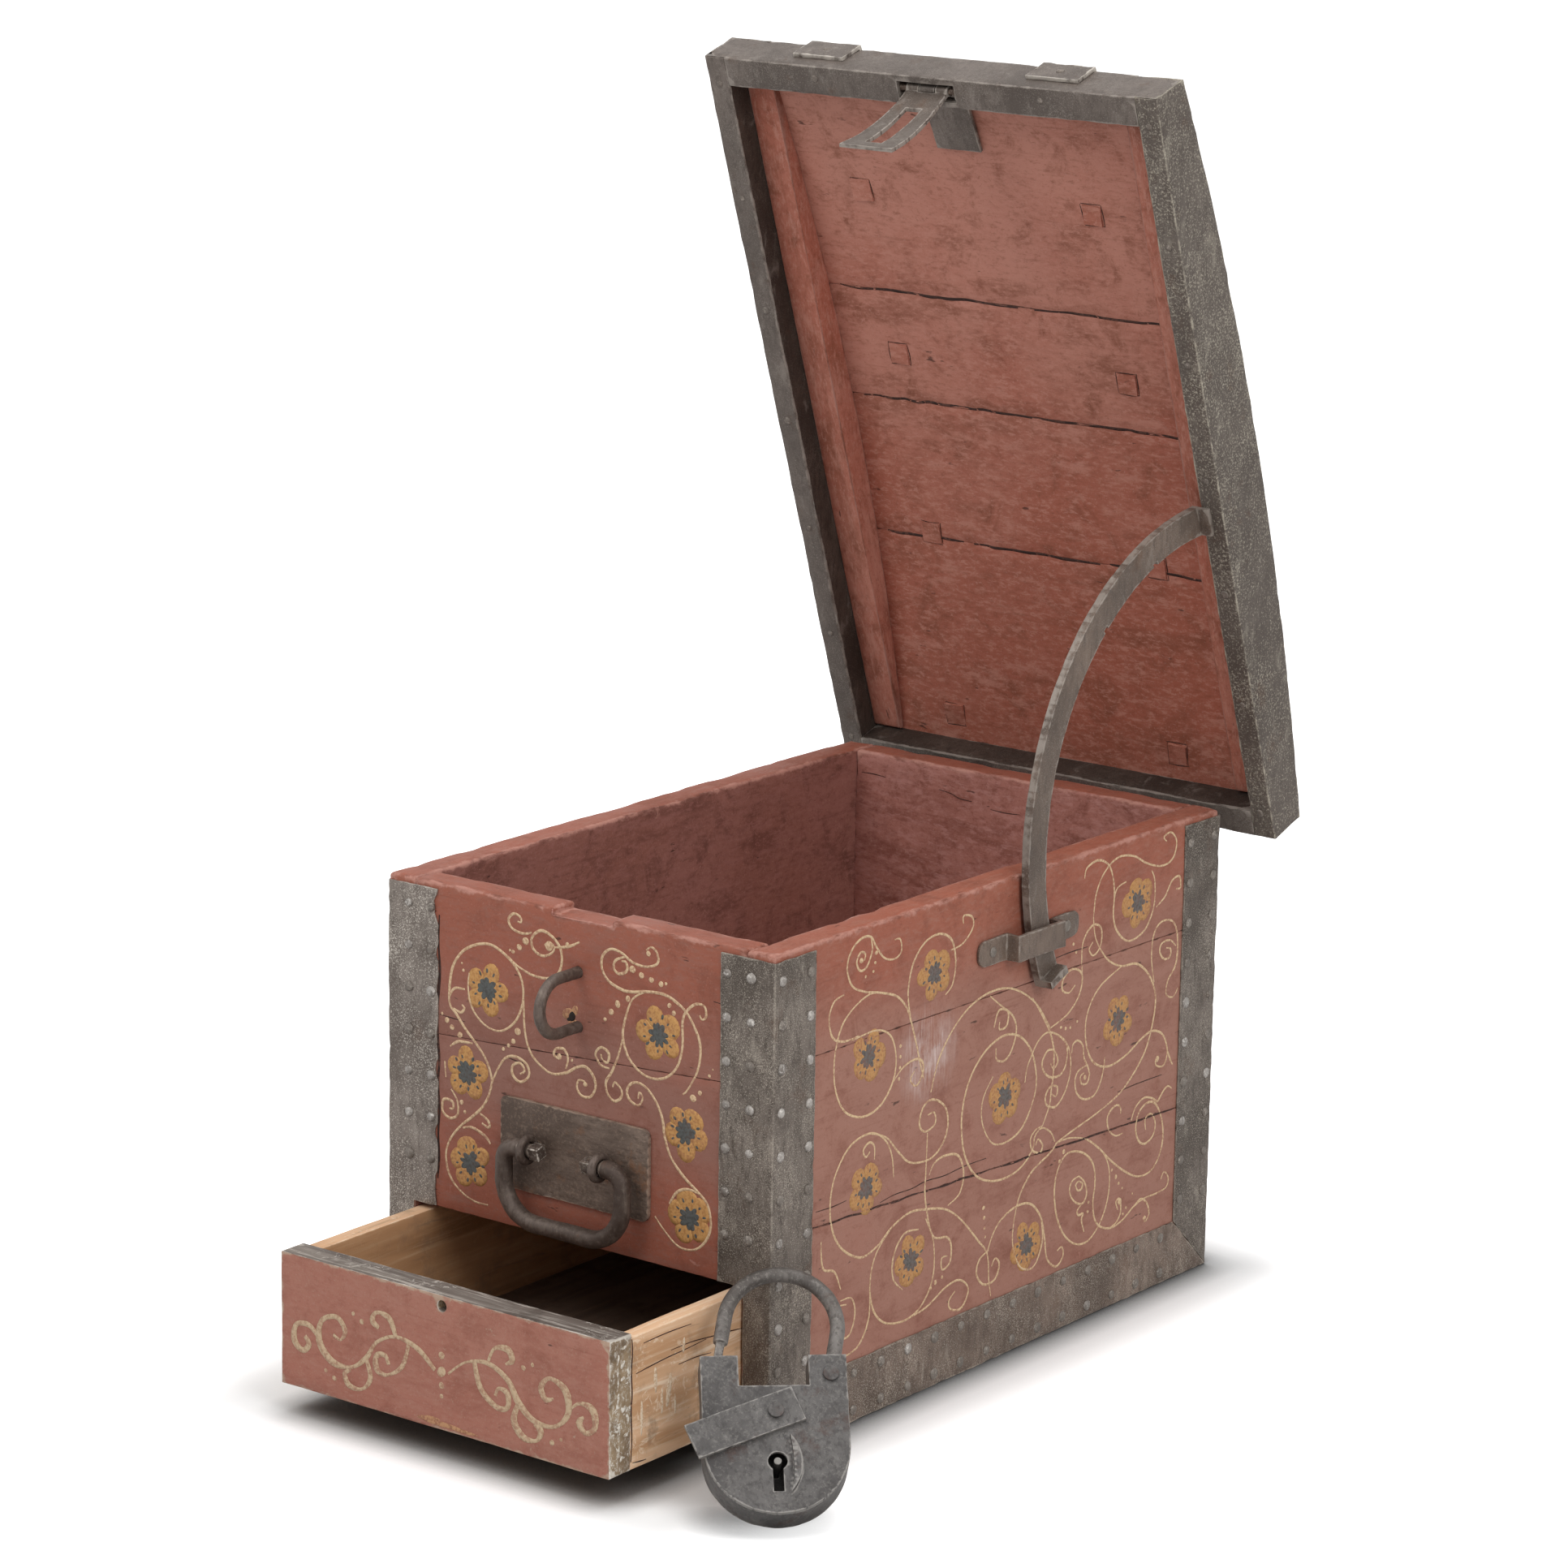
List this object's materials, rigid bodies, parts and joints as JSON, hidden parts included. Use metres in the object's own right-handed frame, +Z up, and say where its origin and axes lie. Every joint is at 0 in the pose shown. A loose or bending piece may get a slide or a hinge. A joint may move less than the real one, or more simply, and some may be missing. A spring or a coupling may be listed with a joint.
{
  "type": "money box",
  "caption": "Iron-bound wooden money box with a hinged arched lid on a curved stay, a front drawer, a hasp and staple, a bail handle and a loose padlock.",
  "frame": {"origin": "centre of the chest's underside, on the floor", "axes": "+X to the right seen from the drawer end, -Y out of the drawer end, +Z up"},
  "size_m": [0.498, 0.7694, 0.9332],
  "materials": {
    "red_painted_wood": "worn matt red paint",
    "bare_pine": "bare, aged",
    "dark_wood": "bare, darkened",
    "wrought_iron": "pitted, rubbed",
    "lock_iron": "smooth, dull"
  },
  "bodies": {
    "chest": {"back_plank_bottom": "red_painted_wood", "back_plank_top": "red_painted_wood", "base_iron_back": "wrought_iron", "base_iron_left": "wrought_iron", "base_iron_right": "wrought_iron", "bottom_board": "dark_wood", "chest_nails": "wrought_iron", "compartment_floor": "red_painted_wood", "corner_iron_back_left": "wrought_iron", "corner_iron_back_right": "wrought_iron", "corner_iron_front_left": "wrought_iron", "corner_iron_front_right": "wrought_iron", "front_plank_bottom": "red_painted_wood", "front_plank_top": "red_painted_wood", "handle_eyes": "wrought_iron", "handle_plate": "wrought_iron", "hinge_leaf_left": "wrought_iron", "hinge_leaf_right": "wrought_iron", "hinge_pins": "wrought_iron", "left_plank_bottom": "red_painted_wood", "left_plank_top": "red_painted_wood", "lock_staple": "wrought_iron", "right_plank_bottom": "red_painted_wood", "right_plank_middle": "red_painted_wood", "right_plank_top": "red_painted_wood", "stay_keeper": "wrought_iron"},
    "lid": {"lid_batten_left": "red_painted_wood", "lid_batten_right": "red_painted_wood", "lid_plank_1": "red_painted_wood", "lid_plank_2": "red_painted_wood", "lid_plank_3": "red_painted_wood", "lid_plank_4": "red_painted_wood", "lid_rail_back": "red_painted_wood", "lid_rail_front": "red_painted_wood", "lid_rail_left": "red_painted_wood", "lid_rail_right": "red_painted_wood", "lid_rivets": "wrought_iron", "lid_stay": "wrought_iron", "lid_strap_left": "wrought_iron", "lid_strap_right": "wrought_iron", "lid_wrap_back": "wrought_iron", "lid_wrap_front": "wrought_iron", "lid_wrap_left": "wrought_iron", "lid_wrap_right": "wrought_iron", "hasp_plate": "wrought_iron", "hasp_pin": "wrought_iron"},
    "hasp": {"hasp": "wrought_iron"},
    "drawer": {"drawer_back": "bare_pine", "drawer_bottom": "dark_wood", "drawer_front": "red_painted_wood", "drawer_side_left": "bare_pine", "drawer_side_right": "bare_pine"},
    "bail": {"handle_bail": "wrought_iron"},
    "padlock": {"padlock_case": "lock_iron", "padlock_front_plate": "lock_iron", "padlock_rivets": "lock_iron", "padlock_spring": "lock_iron"},
    "shackle": {"padlock_shackle": "lock_iron"},
    "keyhole_cover": {"padlock_keyhole_cover": "lock_iron"},
    "bolt": {"padlock_bolt": "lock_iron"}
  },
  "joints": [
    {"name": "lid_hinge", "type": "hinge", "parent": "chest", "child": "lid", "pos_m": [0, 0.3045, 0.3375], "axis": [-1, 0, 0], "range_deg": [-71.3, 2]},
    {"name": "hasp_swing", "type": "hinge", "parent": "lid", "child": "hasp", "pos_m": [0, 0.12335, 0.90857], "axis": [-1, 0, 0], "range_deg": [0, 50]},
    {"name": "drawer_slide", "type": "slide", "parent": "chest", "child": "drawer", "axis": [0, -1, 0], "range_m": [-0.145, 0.235]},
    {"name": "bail_swing", "type": "hinge", "parent": "chest", "child": "bail", "pos_m": [0, -0.2913, 0.187], "axis": [-1, 0, 0], "range_deg": [-5, 160]},
    {"name": "padlock_slide", "type": "slide", "parent": "chest", "child": "padlock", "axis": [0.6691, -0.7431, 0], "range_m": [0, 0.15]},
    {"name": "shackle_swing", "type": "hinge", "parent": "padlock", "child": "shackle", "pos_m": [0.24722, -0.3028, 0.08132], "axis": [0.4731, -0.5255, 0.7071], "range_deg": [-25, 11]},
    {"name": "cover_swing", "type": "hinge", "parent": "padlock", "child": "keyhole_cover", "pos_m": [0.23172, -0.34388, 0.06116], "axis": [0.4731, -0.5255, 0.7071], "range_deg": [-30, 50]},
    {"name": "bolt_slide", "type": "slide", "parent": "padlock", "child": "bolt", "axis": [-0.7431, -0.6691, 0], "range_m": [0, 0.0055]}
  ]
}
